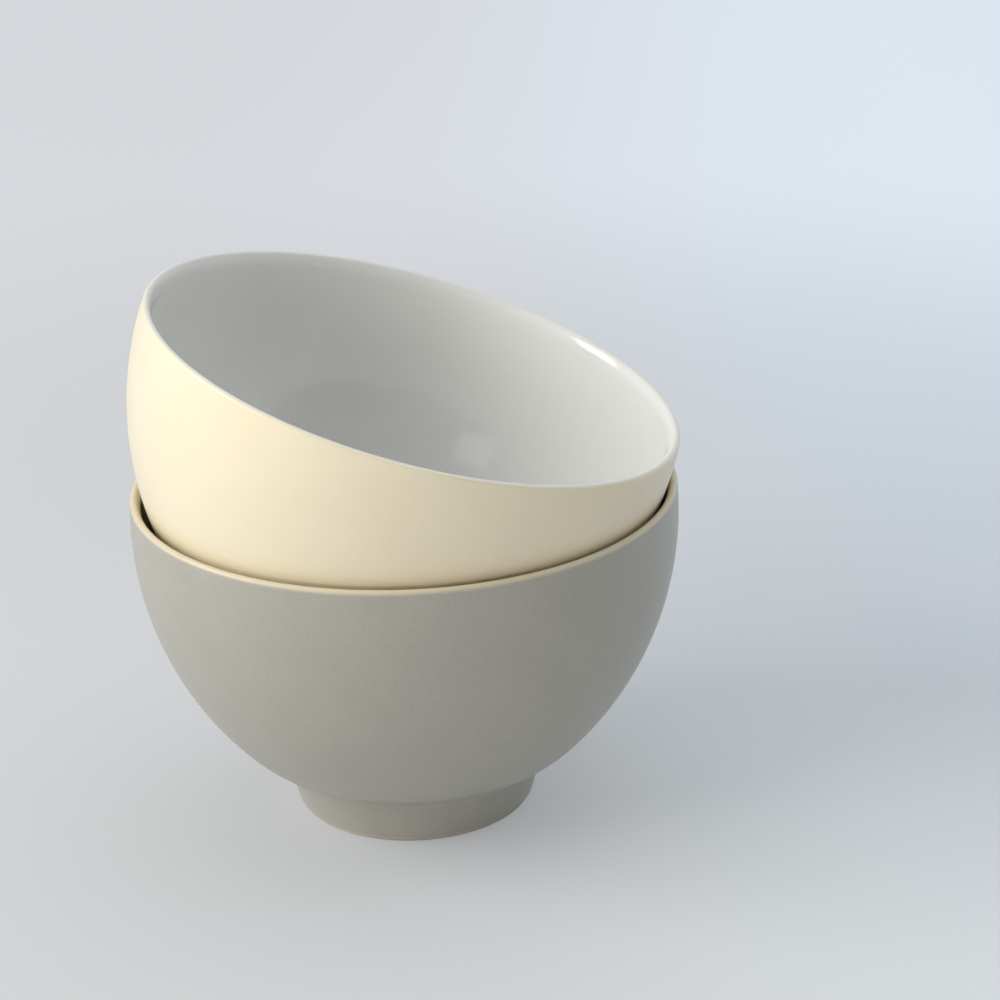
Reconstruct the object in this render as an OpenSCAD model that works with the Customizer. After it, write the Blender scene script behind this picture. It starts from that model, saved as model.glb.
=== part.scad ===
// Nesting pair of glazed latte bowls: one stands on its foot, its twin leans in its mouth.
// Lengths in millimetres. The origin is the centre of the lower foot ring on the ground.
// +Z is up, and the upper bowl leans towards +X.

/* [Bowl] */
// Outside diameter at the widest circle
rim_d = 140; // [128:1:160]
// Height from the ground to the top of the lip
bowl_h = 87.5; // [80:0.5:98]
// How far the widest circle lies below the lip
rim_drop = 7.3; // [3:0.1:12]
// Thickness of the wall and of the rounded lip, glaze included
wall_t = 2.8; // [2.4:0.1:4.5]
// Slope in degrees where the side curve hands over to the tighter base curve
bend_angle = 43; // [37:1:50]
// Height above the ground at which the base curve turns level
base_h = 9.5; // [7:0.5:13]
// Diameter at which the base curve turns level
base_flat_d = 38; // [30:1:50]
// Thickness of the floor between the inside and the recess, glaze included
floor_t = 6.5; // [5:0.5:9]

/* [Foot] */
// Outside diameter of the foot at the ground
foot_d = 61; // [54:1:66]
// Outward lean of the foot's sides in degrees
foot_lean = 15.5; // [0:0.5:20]
// Width of the foot ring at the ground
foot_w = 5; // [4:0.5:8]
// Fillet where the wall meets the foot
foot_fillet = 2; // [1:0.25:4]
// Rounding of the foot ring's bottom edges
foot_edge = 1.2; // [0.6:0.1:1.5]
// Depth of the recess under the base
recess_h = 7; // [5:0.5:8.5]
// Fillet between the side and the ceiling of the recess
recess_fillet = 2.5; // [1:0.25:3]

/* [Glaze] */
// Thickness of each coat of glaze
glaze_t = 0.35; // [0.2:0.05:0.5]
// Height of the bare clay band around the bottom of the foot
bare_h = 1.6; // [1.5:0.1:3]
// Angle in degrees, up from the lip's outer side, at which the inner and outer coats meet
lip_parting = 65; // [10:5:90]

/* [Nest] */
// Lean of the upper bowl in degrees
nest_tilt = 16.9; // [0:0.1:20]
// Gap where the upper bowl bears on the lower lip, at the side it leans to
nest_gap = 0.25; // [0.2:0.05:0.6]
// How much wider the gap is at the raised side
nest_slack = 0.8; // [0:0.1:1.2]

/* [Hidden] */
$fn = 180;

clay_colour = "#d9cdb8";
taupe_colour = "#a29d93";
cream_colour = "#eadfc4";
white_colour = "#f2f2ee";

// Points of the section are [radius, height].
function at(angle) = [cos(angle), sin(angle)];
function unit(v) = v / norm(v);

// Side and base curves: tangent arcs, upright at the widest circle and level at the flat of the base.
wide_h = bowl_h - rim_drop;
arc_span_r = rim_d / 2 - base_flat_d / 2;
arc_span_h = wide_h - base_h;
arc_step = (arc_span_h - arc_span_r) / (cos(bend_angle) + sin(bend_angle) - 1);
side_r = arc_span_r + arc_step * cos(bend_angle);
base_r = arc_span_h - arc_step * sin(bend_angle);
side_c = [rim_d / 2 - side_r, wide_h];
base_c = side_c + (side_r - base_r) * at(-bend_angle);

// Inside: parallel to the side curve, then a base curve of its own down to the floor.
floor_h = recess_h + floor_t;
cave_side_r = side_r - wall_t;
cave_base_r = (wide_h - floor_h - cave_side_r * sin(bend_angle)) / (1 - sin(bend_angle));
cave_base_c = side_c + (cave_side_r - cave_base_r) * at(-bend_angle);

// Lip: a half round across the wall, its top at the bowl's height.
lip_r = wall_t / 2;
lip_angle = asin((bowl_h - lip_r - wide_h) / (side_r - lip_r));
lip_c = side_c + (side_r - lip_r) * at(lip_angle);

// Foot: leaning sides, with a fillet tangent to the outer side and to the curve that this side meets:
// the base curve, or the side curve where the foot is wider than the bend.
foot_up = at(90 - foot_lean);
foot_out = at(-foot_lean);
foot_in_up = at(90 + foot_lean);
foot_corner = [foot_d / 2, 0];
fillet_at_bend = side_c + (side_r + foot_fillet) * at(-bend_angle);
fillet_on_base = (fillet_at_bend - foot_corner) * foot_out > foot_fillet;
met_c = fillet_on_base ? base_c : side_c;
met_r = fillet_on_base ? base_r : side_r;
fillet_from = foot_corner + foot_fillet * foot_out - met_c;
fillet_along = -fillet_from * foot_up
    - sqrt(pow(fillet_from * foot_up, 2) - fillet_from * fillet_from + pow(met_r + foot_fillet, 2));
fillet_c = met_c + fillet_from + fillet_along * foot_up;
foot_top = fillet_c + fillet_c[0] / 2 * (met_c - fillet_c) / (fillet_c[0] - met_c[0]);
foot_mid_r = foot_d / 2 - foot_w / 2;

// Nest: both side curves of the upper bowl, which leans, rest on the lower lip.
function lean(p) = [p * at(nest_tilt), p * at(nest_tilt + 90)];
nest_left = [-lip_c[0], lip_c[1]] - lean([-side_c[0], side_c[1]]);
nest_right = lip_c - lean(side_c);
nest_reach = side_r + lip_r + nest_gap;
nest_wide_reach = nest_reach + nest_slack;
nest_span = norm(nest_right - nest_left);
nest_way = unit(nest_right - nest_left);
nest_along = (nest_span + (nest_wide_reach - nest_reach) * (nest_wide_reach + nest_reach) / nest_span) / 2;
nest_rise = sqrt(nest_wide_reach * nest_wide_reach - nest_along * nest_along);
nest_at = nest_left + nest_along * nest_way + nest_rise * [-nest_way[1], nest_way[0]];

// Cutting lines of the section: bend line and lip line, both through the centre of the side curve.
far = 2 * (rim_d + bowl_h);
function on_line(angle, r) = [r, side_c[1] + (r - side_c[0]) * tan(angle)];
bend_axis = on_line(-bend_angle, 0);
bend_far = on_line(-bend_angle, far);
lip_axis = on_line(lip_angle, 0);
lip_far = on_line(lip_angle, far);

// Arcs reach past their tangent points by this length, angle and factor, so that neighbours cross.
seam = 0.001;
seam_angle = 3;
seam_reach = 1.5;

module disc(centre, r) {
    translate(centre) circle(r);
}

module above_bend() {
    polygon([bend_axis, bend_far, [far, far], [0, far]]);
}

module below_lip() {
    polygon([lip_axis, [0, -far], [far, -far], lip_far]);
}

// Sector of a base curve, from the bend line down to where it turns level.
module base_sector(centre, r) {
    apex = centre - centre[0] / 2 * at(-(bend_angle + 90) / 2);
    intersection() {
        disc(centre, r + seam);
        polygon([apex, centre + far * at(-90 - seam_angle), centre + far * at(-bend_angle + seam_angle)]);
    }
}

// Turned outline, filled to the axis: side curve, base curve and a level bottom.
module outline(side, centre, base, level) {
    intersection() {
        disc(side_c, side);
        above_bend();
    }
    base_sector(centre, base);
    polygon([[0, level], [centre[0], level], centre, [0, bend_axis[1] + wall_t]]);
}

// What an arc of radius r takes off a corner whose sides run from the tip along two directions.
module corner_waste(tip, side_a, side_b, r) {
    half = acos(side_a * side_b) / 2;
    centre = tip + r / sin(half) * unit(side_a + side_b);
    touch = r / tan(half);
    ends = [tip + touch * side_a, tip, tip + touch * side_b];
    difference() {
        polygon([centre, for (end = ends) centre + seam_reach * (end - centre)]);
        disc(centre, r + seam);
    }
}

// Recess under the base, grown into the clay by inset and open at the ground.
module recess(inset) {
    ring_in = foot_d / 2 - foot_w + inset / cos(foot_lean);
    ceiling = recess_h + inset;
    tip = [ring_in - ceiling * tan(foot_lean), ceiling];
    difference() {
        polygon([[0, -foot_w], [ring_in + foot_w * tan(foot_lean), -foot_w], tip, [0, ceiling]]);
        corner_waste(tip, [-1, 0], -foot_in_up, recess_fillet + inset);
    }
    corner_waste([ring_in, 0], [1, 0], foot_in_up, foot_edge);
}

// Foot without its recess, moved in from the finished surface by inset.
module foot_section(inset) {
    tip = foot_corner - [inset / cos(foot_lean), 0];
    neck = fillet_c - (foot_fillet + inset) * foot_out;
    difference() {
        polygon([[0, 0], tip, neck, fillet_c, foot_top, [0, foot_top[1]]]);
        disc(fillet_c, foot_fillet + inset + seam);
        corner_waste(tip, [-1, 0], foot_up, foot_edge);
    }
}

// Whole outside, filled to the axis, moved in from the finished surface by inset.
module outside(inset) {
    difference() {
        union() {
            outline(side_r - inset, base_c, base_r - inset, base_h + inset);
            foot_section(inset);
        }
        recess(inset);
    }
}

// Hollow of the bowl, grown into the wall and the floor by inset.
module hollow(inset) {
    outline(cave_side_r + inset, cave_base_c, cave_base_r + inset, floor_h - inset);
}

// Whole section of a bowl, moved in from the finished surface by inset.
module bowl_section(inset) {
    difference() {
        intersection() {
            outside(inset);
            below_lip();
        }
        hollow(inset);
    }
    disc(lip_c, lip_r - inset + seam);
}

// Every coat of glaze: all of the skin but the bare band around the bottom of the foot.
module coat_section() {
    difference() {
        intersection() {
            bowl_section(0);
            translate([0, bare_h]) square([far, far]);
        }
        bowl_section(glaze_t);
    }
}

// Regions that part the coats from each other, bounded by lines in the middle of the clay.
module inner_zone() {
    hollow(wall_t / 2);
    polygon([lip_c, lip_c + far * at(lip_parting), [0, far], [0, lip_c[1]]]);
}

module base_zone() {
    square([foot_mid_r, recess_h + floor_t / 2]);
}

module inner_glaze_section() {
    intersection() {
        coat_section();
        inner_zone();
    }
}

module base_glaze_section() {
    intersection() {
        coat_section();
        base_zone();
    }
}

module outer_glaze_section() {
    difference() {
        coat_section();
        inner_zone();
        base_zone();
    }
}

// Places a bowl as it leans in the mouth of the lower one.
module nested() {
    translate([nest_at[0], 0, nest_at[1]]) rotate([0, nest_tilt, 0]) children();
}

module lower_bowl_body() {
    color(clay_colour) rotate_extrude() bowl_section(glaze_t);
}

module lower_bowl_outer_glaze() {
    color(taupe_colour) rotate_extrude() outer_glaze_section();
}

module lower_bowl_inner_glaze() {
    color(white_colour) rotate_extrude() inner_glaze_section();
}

module lower_bowl_base_glaze() {
    color(taupe_colour) rotate_extrude() base_glaze_section();
}

module upper_bowl_body() {
    color(clay_colour) nested() rotate_extrude() bowl_section(glaze_t);
}

module upper_bowl_outer_glaze() {
    color(cream_colour) nested() rotate_extrude() outer_glaze_section();
}

module upper_bowl_inner_glaze() {
    color(white_colour) nested() rotate_extrude() inner_glaze_section();
}

module upper_bowl_base_glaze() {
    color(cream_colour) nested() rotate_extrude() base_glaze_section();
}

lower_bowl_body();
lower_bowl_outer_glaze();
lower_bowl_inner_glaze();
lower_bowl_base_glaze();
upper_bowl_body();
upper_bowl_outer_glaze();
upper_bowl_inner_glaze();
upper_bowl_base_glaze();
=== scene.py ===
import bmesh
import bpy
import math
from mathutils import Matrix, Vector


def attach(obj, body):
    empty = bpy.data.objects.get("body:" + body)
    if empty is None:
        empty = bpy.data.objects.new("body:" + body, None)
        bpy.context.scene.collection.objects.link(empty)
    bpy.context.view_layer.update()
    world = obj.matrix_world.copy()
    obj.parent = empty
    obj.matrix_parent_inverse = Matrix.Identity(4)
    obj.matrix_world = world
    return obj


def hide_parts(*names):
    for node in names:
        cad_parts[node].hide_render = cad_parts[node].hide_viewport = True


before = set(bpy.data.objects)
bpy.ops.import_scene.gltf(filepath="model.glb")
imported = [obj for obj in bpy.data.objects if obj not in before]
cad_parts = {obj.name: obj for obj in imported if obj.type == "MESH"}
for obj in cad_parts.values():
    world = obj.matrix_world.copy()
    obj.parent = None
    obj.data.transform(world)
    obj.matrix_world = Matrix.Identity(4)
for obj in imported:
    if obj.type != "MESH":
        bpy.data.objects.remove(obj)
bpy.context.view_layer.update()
print("frame: loaded", len(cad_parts), "nodes")


class Wire:  # a socket that can stand in a sum, so that formulas read as formulas
    def __init__(self, bench, socket):
        self.bench = bench
        self.socket = socket

    def __add__(self, other):
        return self.bench.math("ADD", self, other)

    def __radd__(self, other):
        return self.bench.math("ADD", other, self)

    def __sub__(self, other):
        return self.bench.math("SUBTRACT", self, other)

    def __rsub__(self, other):
        return self.bench.math("SUBTRACT", other, self)

    def __mul__(self, other):
        return self.bench.math("MULTIPLY", self, other)

    def __rmul__(self, other):
        return self.bench.math("MULTIPLY", other, self)

    def __truediv__(self, other):
        return self.bench.math("DIVIDE", self, other)

    def __rtruediv__(self, other):
        return self.bench.math("DIVIDE", other, self)

    def __neg__(self):
        return self.bench.math("MULTIPLY", self, -1.0)

    def out(self, name):  # another output of the same node
        return Wire(self.bench, self.socket.node.outputs[name])


class Bench:  # adds nodes to one tree, for shapes and for finishes alike
    def __init__(self, tree):
        self.tree = tree

    def add(self, kind, settings=None, sockets=None, out=0):
        node = self.tree.nodes.new(kind)
        for name, value in (settings or {}).items():
            setattr(node, name, value)
        for key, value in (sockets or {}).items():
            for one in value if isinstance(value, list) else [value]:
                if isinstance(one, Wire):
                    self.tree.links.new(one.socket, node.inputs[key])
                else:
                    node.inputs[key].default_value = one
        return Wire(self, node.outputs[out]) if node.outputs else node

    def math(self, operation, *terms):
        return self.add("ShaderNodeMath", {"operation": operation}, dict(enumerate(terms)))

    def vector(self, x, y, z):
        return self.add("ShaderNodeCombineXYZ", None, {0: x, 1: y, 2: z})

    def fade(self, value, start, end):  # 0 before start, 1 after end, soft between
        return self.add("ShaderNodeMapRange", {"interpolation_type": "SMOOTHSTEP"},
                        {"Value": value, "From Min": start, "From Max": end})

    def tint(self, share, first, second):
        factor, start, end, result = 0, 6, 7, 2  # the Mix node's colour sockets
        return self.add("ShaderNodeMix", {"data_type": "RGBA"},
                        {factor: share, start: first, end: second}, result)


bowl = {  # metres and degrees; the sizes of the solids, apart from the last two
    "rimWidth": 0.140,
    "height": 0.0875,
    "rimDrop": 0.0073,
    "wall": 0.0028,
    "bendAngle": 43.0,
    "baseHeight": 0.0095,
    "baseFlat": 0.038,
    "floorThick": 0.0065,
    "footWidth": 0.061,
    "footLean": 15.5,
    "footRing": 0.005,
    "footFillet": 0.002,
    "footEdge": 0.0012,
    "recessHeight": 0.007,
    "recessFillet": 0.0025,
    "glaze": 0.00035,
    "bareBand": 0.0016,
    "lipParting": 65.0,
    "lipTop": 0.0010,  # radius of the lip's round top
    "lipEase": 0.0050,  # radius that eases the lip's inner edge into the wall
}
nest = {"lean": 16.9, "gap": 0.00025, "slack": 0.0008}  # how the upper bowl lies in the lower one
turning = {
    "steps": 192, "rail": 0.05, "longArc": 44, "lipArc": 24, "smallArc": 10,
    "weld": 1e-6, "crease": 0.7,
}


def lipPlace():  # side curve and lip of the solids' section, as plain numbers
    turn = math.radians(bowl["bendAngle"])
    wideHeight = bowl["height"] - bowl["rimDrop"]
    spanRadius = (bowl["rimWidth"] - bowl["baseFlat"]) / 2
    spanHeight = wideHeight - bowl["baseHeight"]
    step = (spanHeight - spanRadius) / (math.cos(turn) + math.sin(turn) - 1)
    sideRadius = spanRadius + step * math.cos(turn)
    sideMid = Vector((bowl["rimWidth"] / 2 - sideRadius, wideHeight))
    lipRadius = bowl["wall"] / 2
    rise = (bowl["height"] - lipRadius - wideHeight) / (sideRadius - lipRadius)
    lipMid = sideMid + (sideRadius - lipRadius) * Vector((math.sqrt(1 - rise * rise), rise))
    return sideRadius, sideMid, lipRadius, lipMid


def seat():  # both side curves of the leaning bowl rest on the lower lip
    sideRadius, sideMid, lipRadius, lipMid = lipPlace()
    lean = Matrix.Rotation(-math.radians(nest["lean"]), 2)
    left = Vector((-lipMid.x, lipMid.y)) - lean @ Vector((-sideMid.x, sideMid.y))
    right = lipMid - lean @ sideMid
    way, span = (right - left).normalized(), (right - left).length
    reach = sideRadius + lipRadius + nest["gap"]
    wideReach = reach + nest["slack"]
    ahead = (span + (wideReach ** 2 - reach ** 2) / span) / 2
    rise = math.sqrt(wideReach ** 2 - ahead ** 2)
    spot = left + ahead * way + rise * Vector((-way.y, way.x))
    return {"lean": nest["lean"], "nestX": spot.x, "nestZ": spot.y}


upright = {"lean": 0.0, "nestX": 0.0, "nestZ": 0.0}
leaning = seat()
print("seat: upper bowl at", round(leaning["nestX"], 6), round(leaning["nestZ"], 6))


def plus(first, second):
    return first[0] + second[0], first[1] + second[1]


def along(point, length, direction):
    return point[0] + length * direction[0], point[1] + length * direction[1]


def across(first, second):
    return first[0] * second[0] + first[1] * second[1]


class Section:  # half of the bowl's section, as strips of curve; points are (radius, height)
    def __init__(self, bench, size):
        self.bench = bench
        self.size = size
        self.quarter = math.pi / 2
        self.bend = self.radians("bendAngle")
        self.lean = self.radians("footLean")
        self.parting = self.radians("lipParting")
        self.wideHeight = size["height"] - size["rimDrop"]
        self.planSides()
        self.planLip()
        self.planFoot()

    def planSides(self):  # two tangent arcs outside, two inside
        size = self.size
        cosBend, sinBend = self.polar(self.bend)
        bendWay = (cosBend, -sinBend)
        spanRadius = size["rimWidth"] / 2 - size["baseFlat"] / 2
        spanHeight = self.wideHeight - size["baseHeight"]
        step = (spanHeight - spanRadius) / (cosBend + sinBend - 1)
        self.sideRadius = spanRadius + step * cosBend
        self.baseRadius = spanHeight - step * sinBend
        self.sideMid = (size["rimWidth"] / 2 - self.sideRadius, self.wideHeight)
        self.baseMid = along(self.sideMid, self.sideRadius - self.baseRadius, bendWay)
        self.floorHeight = size["recessHeight"] + size["floorThick"]
        self.caveRadius = self.sideRadius - size["wall"]
        caveDrop = self.wideHeight - self.floorHeight - self.caveRadius * sinBend
        self.caveBaseRadius = caveDrop / (1 - sinBend)
        self.caveBaseMid = along(self.sideMid, self.caveRadius - self.caveBaseRadius, bendWay)

    def planLip(self):  # round top on the outer side curve, and the arc that eases it into the wall
        bench, ease = self.bench, self.size["lipEase"]
        self.lipRadius = self.size["lipTop"]
        lipRise = self.size["height"] - self.lipRadius - self.wideHeight
        lipReach = self.sideRadius - self.lipRadius
        self.lipAngle = bench.math("ARCSINE", lipRise / lipReach)
        lipWay = self.polar(self.lipAngle)
        self.lipMid = along(self.sideMid, lipReach, lipWay)
        easeReach, easeStep = self.caveRadius + ease, ease - self.lipRadius
        squares = lipReach * lipReach + easeReach * easeReach - easeStep * easeStep
        ahead = squares / (2 * lipReach)
        below = bench.math("SQRT", easeReach * easeReach - ahead * ahead)
        easeOut = along(along((0.0, 0.0), ahead, lipWay), below, (lipWay[1], -lipWay[0]))
        self.easeMid = plus(self.sideMid, easeOut)
        self.easeAngle = bench.math("ARCTAN2", easeOut[1], easeOut[0])
        easeUp = along(self.lipMid, -1.0, self.easeMid)
        self.easeEnd = bench.math("ARCTAN2", easeUp[1], easeUp[0])

    def planFoot(self):  # flared foot, with a fillet that touches the base curve
        bench, size = self.bench, self.size
        cosLean, sinLean = self.polar(self.lean)
        self.cosLean, self.tanLean = cosLean, sinLean / cosLean
        self.footUp = (sinLean, cosLean)
        self.footOut = (cosLean, -sinLean)
        self.footIn = (-cosLean, -sinLean)
        start = along((size["footWidth"] / 2, 0.0), size["footFillet"], self.footOut)
        start = along(start, -1.0, self.baseMid)
        rise = across(start, self.footUp)
        reach = self.baseRadius + size["footFillet"]
        root = bench.math("SQRT", rise * rise - across(start, start) + reach * reach)
        self.filletMid = along(plus(self.baseMid, start), -rise - root, self.footUp)
        drop = along(self.filletMid, -1.0, self.baseMid)
        self.filletAngle = bench.math("ARCTAN2", drop[1], drop[0])
        self.cornerTan = bench.math("TANGENT", (self.quarter + self.lean) / 2)

    def radians(self, name):
        return self.bench.math("RADIANS", self.size[name])

    def polar(self, angle):
        return self.bench.math("COSINE", angle), self.bench.math("SINE", angle)

    def line(self, start, end):
        ends = {"Start": self.bench.vector(*start, 0.0), "End": self.bench.vector(*end, 0.0)}
        return self.bench.add("GeometryNodeCurvePrimitiveLine", {"mode": "POINTS"}, ends)

    def arc(self, middle, radius, start, end, steps):
        curve = self.bench.add("GeometryNodeCurveArc", {"mode": "RADIUS"},
                               {"Resolution": turning[steps], "Radius": radius,
                                "Start Angle": start, "Sweep Angle": end - start})
        return self.bench.add("GeometryNodeTransform", None,
                              {"Geometry": curve, "Translation": self.bench.vector(*middle, 0.0)})

    def inner(self, inset):  # floor, up the inside and over the lip
        level = self.floorHeight - inset
        base, side = self.caveBaseRadius + inset, self.caveRadius + inset
        ease, lip = self.size["lipEase"] - inset, self.lipRadius - inset
        return [
            self.line((0.0, level), (self.caveBaseMid[0], level)),
            self.arc(self.caveBaseMid, base, -self.quarter, -self.bend, "longArc"),
            self.arc(self.sideMid, side, -self.bend, self.easeAngle, "longArc"),
            self.arc(self.easeMid, ease, self.easeAngle + math.pi, self.easeEnd, "lipArc"),
            self.arc(self.lipMid, lip, self.easeEnd, self.parting, "lipArc"),
        ]

    def outer(self, inset, footEnd):  # from the lip down the outside and the foot
        lip, side, base = (radius - inset for radius in
                           (self.lipRadius, self.sideRadius, self.baseRadius))
        fillet = self.size["footFillet"] + inset
        filletStart, filletEnd = self.filletAngle + math.pi, math.pi - self.lean
        neck = along(self.filletMid, -fillet, self.footOut)
        return [
            self.arc(self.lipMid, lip, self.parting, self.lipAngle, "lipArc"),
            self.arc(self.sideMid, side, self.lipAngle, -self.bend, "longArc"),
            self.arc(self.baseMid, base, -self.bend, self.filletAngle, "longArc"),
            self.arc(self.filletMid, fillet, filletStart, filletEnd, "smallArc"),
            self.line(neck, footEnd),
        ]

    def recess(self, inset, wallEnd):  # the hollow under the base
        ceiling = self.size["recessHeight"] + inset
        fillet = self.size["recessFillet"] + inset
        tip = self.ringIn(inset) - ceiling * self.tanLean
        middle = (tip - fillet / self.cornerTan, ceiling - fillet)
        side = along(middle, -fillet, self.footIn)
        return [
            self.line(wallEnd, side),
            self.arc(middle, fillet, self.lean, self.quarter, "smallArc"),
            self.line((middle[0], ceiling), (0.0, ceiling)),
        ]

    def lipEdge(self, inset):  # where the inner and outer coats meet
        way = self.polar(self.parting)
        ends = [along(self.lipMid, self.lipRadius - depth, way) for depth in (0.0, inset)]
        return self.line(*ends)

    def ringOut(self, inset):
        return self.size["footWidth"] / 2 - inset / self.cosLean

    def ringIn(self, inset):
        return self.size["footWidth"] / 2 - self.size["footRing"] + inset / self.cosLean

    def body(self):  # the clay, a closed section
        inset, edge = self.size["glaze"], self.size["footEdge"]
        touch = edge / self.cornerTan
        outMid = (self.ringOut(inset) - touch, edge)
        inMid = (self.ringIn(inset) + touch, edge)
        tread = [
            self.arc(outMid, edge, -self.lean, -self.quarter, "smallArc"),
            self.line((outMid[0], 0.0), (inMid[0], 0.0)),
            self.arc(inMid, edge, -self.quarter, self.lean - math.pi, "smallArc"),
        ]
        footEnd = along(outMid, edge, self.footOut)
        wallEnd = along(inMid, edge, self.footIn)
        return self.inner(inset) + self.outer(inset, footEnd) + tread + self.recess(inset, wallEnd)

    def innerCoat(self):
        inset = self.size["glaze"]
        return self.inner(0.0) + self.inner(inset) + [self.lipEdge(inset)]

    def outerCoat(self):
        inset, band = self.size["glaze"], self.size["bareBand"]
        feet = [(self.ringOut(depth) + band * self.tanLean, band) for depth in (0.0, inset)]
        skins = self.outer(0.0, feet[0]) + self.outer(inset, feet[1])
        return skins + [self.lipEdge(inset), self.line(*feet)]

    def baseCoat(self):
        inset, band = self.size["glaze"], self.size["bareBand"]
        feet = [(self.ringIn(depth) - band * self.tanLean, band) for depth in (0.0, inset)]
        return self.recess(0.0, feet[0]) + self.recess(inset, feet[1]) + [self.line(*feet)]


def turnTree(name, strips):  # a node group that turns one part of the section round the bowl's axis
    tree = bpy.data.node_groups.new(name, "GeometryNodeTree")
    tree.interface.new_socket("Geometry", in_out="OUTPUT", socket_type="NodeSocketGeometry")
    for key in [*bowl, *upright]:
        tree.interface.new_socket(key, in_out="INPUT", socket_type="NodeSocketFloat")
    tree.interface.new_socket("finish", in_out="INPUT", socket_type="NodeSocketMaterial")
    bench = Bench(tree)
    entry = bench.add("NodeGroupInput")
    size = {key: entry.out(key) for key in [*bowl, *upright]}
    section = Section(bench, size)
    joined = bench.add("GeometryNodeJoinGeometry", None, {0: getattr(section, strips)()})
    profile = bench.add("GeometryNodeTransform", None,
                        {"Geometry": joined, "Translation": (-turning["rail"], 0.0, 0.0)})
    rail = bench.add("GeometryNodeCurvePrimitiveCircle", {"mode": "RADIUS"},
                     {"Resolution": turning["steps"], "Radius": turning["rail"]})
    turned = bench.add("GeometryNodeCurveToMesh", None, {"Curve": rail, "Profile Curve": profile})
    welded = bench.add("GeometryNodeMergeByDistance", None,
                       {"Geometry": turned, "Distance": turning["weld"]})
    righted = bench.add("GeometryNodeTransform", None,
                        {"Geometry": welded, "Rotation": (math.pi, 0.0, 0.0)})
    placed = bench.add("GeometryNodeTransform", None,
                       {"Geometry": righted,
                        "Translation": bench.vector(size["nestX"], 0.0, size["nestZ"]),
                        "Rotation": bench.vector(0.0, section.radians("lean"), 0.0)})
    smooth = bench.add("GeometryNodeSetShadeSmooth", {"domain": "FACE"},
                       {"Geometry": placed, "Shade Smooth": True})
    sharp = bench.add("FunctionNodeCompare", {"data_type": "FLOAT", "operation": "GREATER_THAN"},
                      {0: bench.add("GeometryNodeInputMeshEdgeAngle"), 1: turning["crease"]})
    creased = bench.add("GeometryNodeSetShadeSmooth", {"domain": "EDGE"},
                        {"Geometry": smooth, "Selection": sharp, "Shade Smooth": False})
    real = bench.add("GeometryNodeRealizeInstances", None, {"Geometry": creased})
    dressed = bench.add("GeometryNodeSetMaterial", None,
                        {"Geometry": real, "Material": entry.out("finish")})
    bench.add("NodeGroupOutput", None, {0: dressed})
    return tree


def turnPiece(name, tree, place, finish):
    piece = bpy.data.objects.new(name, bpy.data.meshes.new(name))
    bpy.context.scene.collection.objects.link(piece)
    turner = piece.modifiers.new("turn", "NODES")
    turner.node_group = tree
    values = {**bowl, **place, "finish": finish}
    for item in tree.interface.items_tree:
        if item.in_out == "INPUT":
            turner[item.identifier] = values[item.name]
    graph = bpy.context.evaluated_depsgraph_get()
    plain = bpy.data.meshes.new_from_object(piece.evaluated_get(graph))
    piece.modifiers.clear()
    piece.data = plain
    plain.name = name
    work = bmesh.new()
    work.from_mesh(plain)
    bmesh.ops.recalc_face_normals(work, faces=work.faces)
    openEdges = sum(1 for edge in work.edges if not edge.is_manifold)
    work.to_mesh(plain)
    work.free()
    print("piece:", name, len(plain.polygons), "faces,", openEdges, "open edges")
    return piece


def newFinish(name):
    finish = bpy.data.materials.new(name)
    finish.use_nodes = True
    finish.node_tree.nodes.clear()
    return finish, Bench(finish.node_tree)


def bowlPoint(bench, place):  # Object coordinates, turned back so that the bowl's own axis is Z
    spot = bench.add("ShaderNodeTexCoord", None, None, "Object")
    return bench.add("ShaderNodeMapping", {"vector_type": "TEXTURE"},
                     {"Vector": spot, "Location": (place["nestX"], 0.0, place["nestZ"]),
                      "Rotation": (0.0, math.radians(place["lean"]), 0.0)})


def noise(bench, point, scale, detail):
    return bench.add("ShaderNodeTexNoise", None,
                     {"Vector": point, "Scale": scale, "Detail": detail}, "Fac")


def specks(bench, point, look):  # 1 inside a few scattered dots, 0 outside
    dot = bench.add("ShaderNodeTexVoronoi", {"feature": "F1"},
                    {"Vector": point, "Scale": look["dotScale"]}, "Distance")
    chance = bench.add("ShaderNodeSeparateColor", None, {"Color": dot.out("Color")}, 0)
    return (1 - bench.fade(dot, *look["dotEdge"])) * bench.fade(chance, *look["dotRare"])


def lipBand(bench, height, look):  # 1 at the lip's top, where the glaze runs thinner; on the lower bowl this band is also a painted reflection of the cream bowl above
    top = bowl["height"]
    return bench.fade(height, top - look["lipFade"], top - look["lipStart"])


def closeFinish(bench, look, colour, rough, lift):
    bump = bench.add("ShaderNodeBump", None,
                     {"Strength": look["bump"], "Distance": look["bumpDepth"], "Height": lift})
    shader = bench.add("ShaderNodeBsdfPrincipled", None,
                       {"Base Color": colour, "Roughness": rough, "IOR": look["ior"],
                        "Normal": bump, **look["coat"]})
    bench.add("ShaderNodeOutputMaterial", None, {"Surface": shader})


noiseMiddle = 0.5


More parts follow.
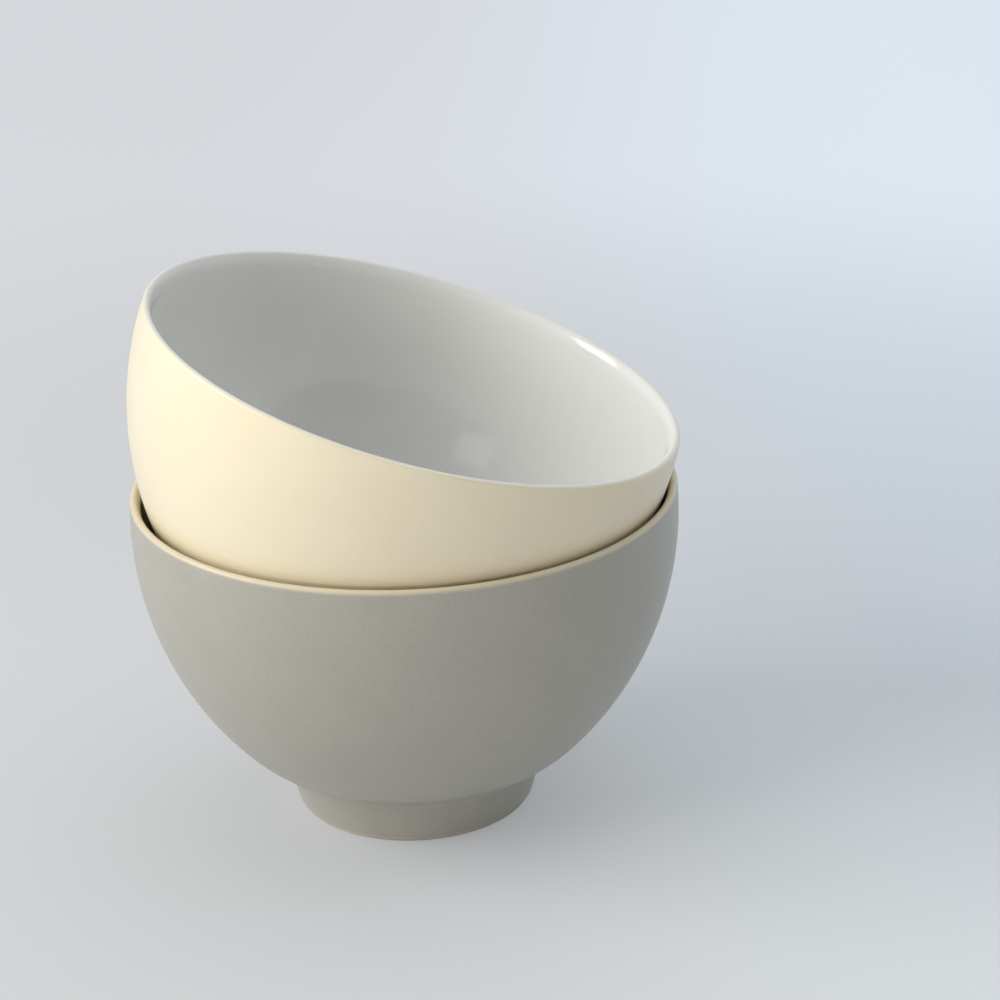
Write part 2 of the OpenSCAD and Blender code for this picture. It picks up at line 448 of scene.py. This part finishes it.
def satinGlaze(name, place, look):
    finish, bench = newFinish(name)
    point = bowlPoint(bench, place)
    height = bench.add("ShaderNodeSeparateXYZ", None, {"Vector": point}, "Z")
    cloud = noise(bench, point, look["cloudScale"], look["cloudDetail"])
    grain = noise(bench, point, look["grainScale"], look["grainDetail"])
    peel = noise(bench, point, look["peelScale"], look["peelDetail"])
    speck = specks(bench, point, look)
    # a lighter line along the foot's crease: partly thinner glaze at the fillet, partly a painted
    # highlight
    crease, width = look["creaseHeight"], look["creaseWidth"]
    creaseRise = bench.fade(height, crease - width, crease)
    creaseFall = bench.fade(height, crease, crease + width)
    creaseShare = creaseRise * (1 - creaseFall)
    swing = grain - noiseMiddle
    colour = bench.tint(cloud * look["cloudTint"] + swing * look["grainTint"],
                        look["deep"], look["pale"])
    colour = bench.tint(speck * look["dotTint"], colour, look["dot"])
    colour = bench.tint(creaseShare * look["creaseTint"], colour, look["thinAndSheen"])
    colour = bench.tint(lipBand(bench, height, look) * look["lipTint"], colour, look["thinAndSheen"])
    rough = look["rough"] + (cloud - noiseMiddle) * look["cloudRough"] + swing * look["grainRough"]
    lift = grain * look["grainLift"] + peel - speck * look["dotLift"]
    closeFinish(bench, look, colour, rough, lift)
    return finish


def glossGlaze(name, place, look):
    finish, bench = newFinish(name)
    point = bowlPoint(bench, place)
    height = bench.add("ShaderNodeSeparateXYZ", None, {"Vector": point}, "Z")
    cloud = noise(bench, point, look["cloudScale"], look["cloudDetail"])
    peel = noise(bench, point, look["peelScale"], look["peelDetail"])
    pinhole = specks(bench, point, look)
    lipShare = lipBand(bench, height, look)
    colour = bench.tint(cloud, look["deep"], look["pale"])
    colour = bench.tint(pinhole * look["dotTint"], colour, look["dot"])
    colour = bench.tint(lipShare * look["lipTint"], colour, look["thinAndSheen"])
    rough = (look["rough"] + (cloud - noiseMiddle) * look["cloudRough"]
             + lipShare * look["lipRough"])
    lift = peel * look["peelLift"] + cloud * look["cloudLift"] - pinhole * look["dotLift"]
    closeFinish(bench, look, colour, rough, lift)
    return finish


def bareClay(name, place, look):
    finish, bench = newFinish(name)
    point = bowlPoint(bench, place)
    cloud = noise(bench, point, look["cloudScale"], look["cloudDetail"])
    sand = noise(bench, point, look["sandScale"], look["sandDetail"])
    fleck = specks(bench, point, look)
    colour = bench.tint(cloud * look["cloudTint"] + sand * look["sandTint"],
                        look["deep"], look["pale"])
    colour = bench.tint(fleck * look["dotTint"], colour, look["dot"])
    rough = look["rough"] + (sand - noiseMiddle) * look["sandRough"]
    closeFinish(bench, look, colour, rough, sand + fleck * look["dotLift"])
    return finish


trees = {
    "body": turnTree("turnBody", "body"),
    "outer_glaze": turnTree("turnOuterCoat", "outerCoat"),
    "inner_glaze": turnTree("turnInnerCoat", "innerCoat"),
    "base_glaze": turnTree("turnBaseCoat", "baseCoat"),
}
print("trees:", ", ".join(tree.name for tree in trees.values()))

satin = {  # what the two outer colours share; scales are per metre
    "cloudDetail": 3.0, "cloudTint": 0.9, "cloudRough": 0.08,
    "grainScale": 1500.0, "grainDetail": 2.0, "grainRough": 0.06, "grainLift": 0.6,
    "peelScale": 500.0, "peelDetail": 1.0,
    "dotScale": 620.0, "dotEdge": (0.08, 0.22), "dotLift": 0.5,
    "creaseHeight": 0.0122, "creaseWidth": 0.0012, "creaseTint": 0.08,
    "bumpDepth": 0.0001, "ior": 1.5,
}
taupe = {
    **satin,
    "deep": (0.352, 0.336, 0.288, 1), "pale": (0.398, 0.381, 0.328, 1),
    "dot": (0.20, 0.18, 0.15, 1), "thinAndSheen": (0.68, 0.59, 0.42, 1),
    "cloudScale": 70.0, "grainTint": 2.0, "dotRare": (0.90, 0.92), "dotTint": 0.35,
    # the cream band at the lip is partly thinner glaze, partly a painted reflection of the cream
    # bowl above
    "lipStart": 0.0002, "lipFade": 0.0014, "lipTint": 0.9,
    "rough": 0.46, "bump": 0.12, "coat": {"Coat Weight": 0.5, "Coat Roughness": 0.3},
}
cream = {
    **satin,
    "deep": (0.800, 0.700, 0.500, 1), "pale": (0.840, 0.745, 0.545, 1),
    "dot": (0.62, 0.50, 0.32, 1), "thinAndSheen": (0.78, 0.75, 0.68, 1),
    "cloudScale": 60.0, "grainTint": 0.9, "dotRare": (0.93, 0.95), "dotTint": 0.2,
    "lipStart": 0.0, "lipFade": 0.0004, "lipTint": 0.6,
    "rough": 0.44, "bump": 0.10, "coat": {"Coat Weight": 0.7, "Coat Roughness": 0.3},
}
white = {
    "deep": (0.790, 0.782, 0.750, 1), "pale": (0.830, 0.822, 0.790, 1),
    "dot": (0.60, 0.56, 0.48, 1), "thinAndSheen": (0.78, 0.75, 0.68, 1),
    "cloudScale": 40.0, "cloudDetail": 3.0, "cloudRough": 0.04, "cloudLift": 1.2,
    "peelScale": 420.0, "peelDetail": 1.0, "peelLift": 0.35,
    "dotScale": 260.0, "dotEdge": (0.03, 0.08), "dotRare": (0.93, 0.95),
    "dotTint": 0.35, "dotLift": 0.4,
    "lipStart": 0.0, "lipFade": 0.0014, "lipTint": 0.7, "lipRough": 0.0,
    "rough": 0.07, "bump": 0.05, "bumpDepth": 0.0001, "ior": 1.52, "coat": {},
}
creamLip = {  # the lower bowl's inside, with a wider and duller cream band at its lip: a painted reflection of the cream bowl above
    **white,
    "thinAndSheen": (0.70, 0.61, 0.44, 1), "lipFade": 0.0040, "lipTint": 1.0, "lipRough": 0.3,
}
clay = {
    "deep": (0.46, 0.41, 0.32, 1), "pale": (0.56, 0.51, 0.42, 1), "dot": (0.36, 0.28, 0.19, 1),
    "cloudScale": 90.0, "cloudDetail": 3.0, "cloudTint": 0.6,
    "sandScale": 1900.0, "sandDetail": 3.0, "sandTint": 0.4, "sandRough": 0.2,
    "dotScale": 900.0, "dotEdge": (0.12, 0.3), "dotRare": (0.86, 0.9),
    "dotTint": 0.5, "dotLift": 0.4,
    "rough": 0.82, "bump": 0.5, "bumpDepth": 0.0001, "ior": 1.45, "coat": {},
}

bowls = {
    "lower_bowl": (upright, {
        "body": ("clay", bareClay("clayLower", upright, clay)),
        "outer_glaze": ("taupe_glaze", satinGlaze("taupeSatin", upright, taupe)),
        "inner_glaze": ("white_glaze", glossGlaze("whiteGlossLower", upright, creamLip)),
        "base_glaze": ("taupe_glaze", satinGlaze("taupeRecess", upright, taupe)),
    }),
    "upper_bowl": (leaning, {
        "body": ("clay", bareClay("clayUpper", leaning, clay)),
        "outer_glaze": ("cream_glaze", satinGlaze("creamSatin", leaning, cream)),
        "inner_glaze": ("white_glaze", glossGlaze("whiteGlossUpper", leaning, white)),
        "base_glaze": ("cream_glaze", satinGlaze("creamRecess", leaning, cream)),
    }),
}
for bodyName, (place, coats) in bowls.items():
    for part, (slotName, finish) in coats.items():
        node = f"{bodyName}_{part}"
        piece = turnPiece(f"turned_{node}", trees[part], place, finish)
        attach(piece, bodyName)
        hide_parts(node)
print("bowls: turned and dressed")

floor = {
    "size": 6.0, "paper": (0.61, 0.62, 0.63, 1),
    "midLeft": (0.695, 0.705, 0.725, 1), "midRight": (0.70, 0.80, 0.91, 1),
    "frontRight": (0.88, 0.96, 1.0, 1),
    "farLeft": (0.72, 0.73, 0.77, 1), "farRight": (0.80, 0.88, 0.97, 1),
    "turnFade": (0.25, 0.60), "midSide": (-0.03, 0.15),
    "frontSide": (0.10, -0.06), "farSide": (-0.15, 0.2),
    "nearShare": 0.32, "farShare": 0.80, "shareFade": (0.15, 0.60),
}


def layFloor():  # a pale sheet that keeps the shadow and evens out to a pale backdrop
    mesh = bpy.data.meshes.new("floor")
    half = floor["size"] / 2
    corners = [(-half, -half, 0), (half, -half, 0), (half, half, 0), (-half, half, 0)]
    mesh.from_pydata(corners, [], [(0, 1, 2, 3)])
    plane = bpy.data.objects.new("floor", mesh)
    bpy.context.scene.collection.objects.link(plane)
    finish, bench = newFinish("paleFloor")
    spot = bench.add("ShaderNodeTexCoord", None, None, "Object")
    far = bench.add("ShaderNodeVectorMath", {"operation": "LENGTH"}, {0: spot}, "Value")
    side = bench.add("ShaderNodeSeparateXYZ", None, {"Vector": spot}, "X")
    # painted light: what the camera sees of the floor glows brighter and bluer towards the right
    # and front right, which lightens the bowls' shadow there
    rightHue = bench.tint(bench.fade(side.out("Y"), *floor["frontSide"]),
                          floor["midRight"], floor["frontRight"])
    midHue = bench.tint(bench.fade(side, *floor["midSide"]), floor["midLeft"], rightHue)
    farHue = bench.tint(bench.fade(side, *floor["farSide"]), floor["farLeft"], floor["farRight"])
    hue = bench.tint(bench.fade(far, *floor["turnFade"]), midHue, farHue)
    paper = bench.add("ShaderNodeBsdfDiffuse", None, {"Color": floor["paper"]})
    glow = bench.add("ShaderNodeEmission", None, {"Color": hue, "Strength": 1.0})
    path = bench.add("ShaderNodeLightPath")
    seen = path.out("Is Camera Ray") + path.out("Is Glossy Ray") + path.out("Is Transmission Ray")
    gain = floor["farShare"] - floor["nearShare"]
    share = floor["nearShare"] + bench.fade(far, *floor["shareFade"]) * gain
    mixed = bench.add("ShaderNodeMixShader", None,
                      {0: bench.math("MINIMUM", seen, 1.0) * share, 1: paper, 2: glow})
    bench.add("ShaderNodeOutputMaterial", None, {"Surface": mixed})
    mesh.materials.append(finish)


layFloor()

hang = {"aim": (0.0, 0.0, 0.07), "distance": 1.3}
lamps = {  # azimuth runs from the camera's side, negative to the left; degrees, metres, watts
    "window": {"azimuth": -85.0, "elevation": 31.0, "width": 0.55, "height": 0.75,
               "power": 6.9, "colour": (1.0, 0.985, 0.96), "gloss": True},
    "curtain": {"azimuth": -53.0, "elevation": 31.0, "width": 0.55, "height": 0.75,
                "power": 5.9, "colour": (1.0, 0.985, 0.96), "gloss": False},
    "tableCard": {"azimuth": -16.0, "elevation": 5.5, "width": 1.5, "height": 0.25,
                  "power": 4.9, "colour": (1.0, 0.99, 0.97), "gloss": False},
    "pane": {"azimuth": -38.0, "elevation": 36.0, "width": 0.40, "height": 0.24,
             "power": 0.3, "colour": (1.0, 0.99, 0.97), "gloss": True},
    "ceiling": {"azimuth": 0.0, "elevation": 85.0, "width": 1.2, "height": 1.2,
                "power": 1.2, "colour": (1.0, 1.0, 1.0), "gloss": True},
}


def hangLamp(name, lamp):
    turn, rise = math.radians(lamp["azimuth"]), math.radians(lamp["elevation"])
    level = math.cos(rise)
    way = Vector((math.sin(turn) * level, -math.cos(turn) * level, math.sin(rise)))
    light = bpy.data.lights.new(name, "AREA")
    light.shape = "RECTANGLE"
    light.size, light.size_y = lamp["width"], lamp["height"]
    light.energy = lamp["power"]
    light.color = lamp["colour"]
    holder = bpy.data.objects.new(name, light)
    holder.visible_glossy = lamp["gloss"]  # off for soft fills, which leave no patch in the glaze
    spot = Vector(hang["aim"]) + way * hang["distance"]
    turned = way.to_track_quat("Z", "Y").to_matrix().to_4x4()
    holder.matrix_world = Matrix.Translation(spot) @ turned
    bpy.context.scene.collection.objects.link(holder)


for lampName, lamp in lamps.items():
    hangLamp(lampName, lamp)

sky = {
    "back": (0.64, 0.67, 0.69, 1), "right": (0.90, 0.95, 0.99, 1), "front": (0.05, 0.051, 0.052, 1),
    "rightFade": (-0.2, 0.7), "backFade": (-0.9, 0.3),
}


def paintSky():  # bright behind the bowls and to the right, dark on the camera's side
    world = bpy.data.worlds.new("softRoom")
    world.use_nodes = True
    world.node_tree.nodes.clear()
    room = Bench(world.node_tree)
    way = room.add("ShaderNodeTexCoord", None, None, "Generated")
    ahead = room.add("ShaderNodeSeparateXYZ", None, {"Vector": way}, "Y")
    behind = room.tint(room.fade(ahead.out("X"), *sky["rightFade"]), sky["back"], sky["right"])
    hue = room.tint(room.fade(ahead, *sky["backFade"]), sky["front"], behind)
    glow = room.add("ShaderNodeBackground", None, {"Color": hue})
    room.add("ShaderNodeOutputWorld", None, {"Surface": glow})
    bpy.context.scene.world = world


paintSky()
bpy.context.scene.view_settings.view_transform = "Standard"

eye = {  # the camera fitted to the photo; metres, and the lens in millimetres
    "place": (0.05489, -0.76763, 0.39565), "right": (0.99922, 0.028517, -0.027308),
    "up": (0.014484, 0.378676, 0.925416), "back": (0.036731, -0.925090, 0.377968),
    "lens": 116.92, "sensor": 36.0, "clipStart": 0.01,
}
lens = bpy.data.cameras.new("photoCamera")
lens.lens = eye["lens"]
lens.sensor_width = eye["sensor"]
lens.clip_start = eye["clipStart"]
camera = bpy.data.objects.new("photoCamera", lens)
axes = Matrix((eye["right"], eye["up"], eye["back"])).transposed().to_4x4()
camera.matrix_world = Matrix.Translation(eye["place"]) @ axes
bpy.context.scene.collection.objects.link(camera)
bpy.context.scene.camera = camera
print("stage: floor, lamps, sky, camera")
